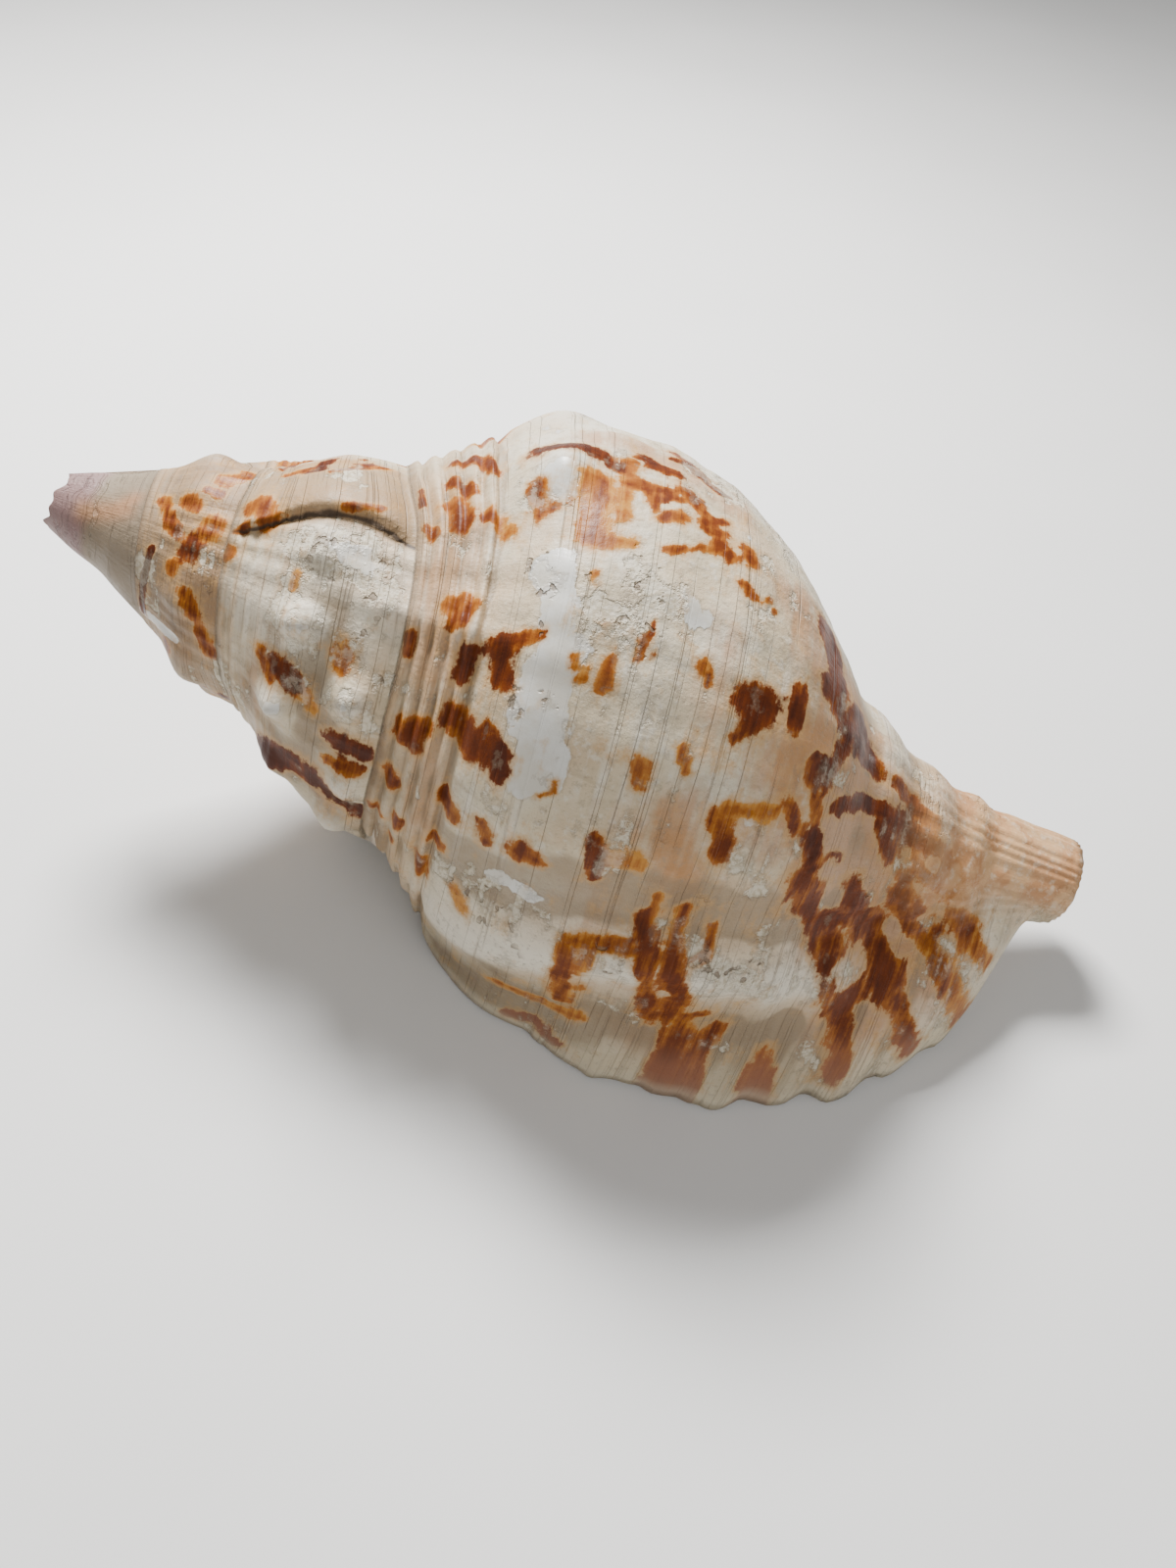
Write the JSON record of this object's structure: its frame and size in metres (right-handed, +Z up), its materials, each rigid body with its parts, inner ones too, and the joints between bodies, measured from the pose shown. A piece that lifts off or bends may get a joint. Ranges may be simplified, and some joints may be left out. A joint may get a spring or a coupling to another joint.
{
  "type": "knobbed spiral sea shell",
  "caption": "Large dextral sea shell with a knobbed tapering spire, a swollen body whorl, a flared scalloped lip and a short spout-like canal, resting opening down.",
  "frame": {"origin": "bottom centre of the shell's bounding box, on the table it rests on", "axes": "+Z up, +X along the shell from the broken tip to the canal, -Y the side of the flared lip"},
  "size_m": [0.2756, 0.146, 0.1245],
  "materials": {
    "shell": "worn chalky cream shell with orange to red-brown blotches and smooth enamel patches"
  },
  "bodies": {
    "root": {"shell": "shell"}
  },
  "joints": []
}
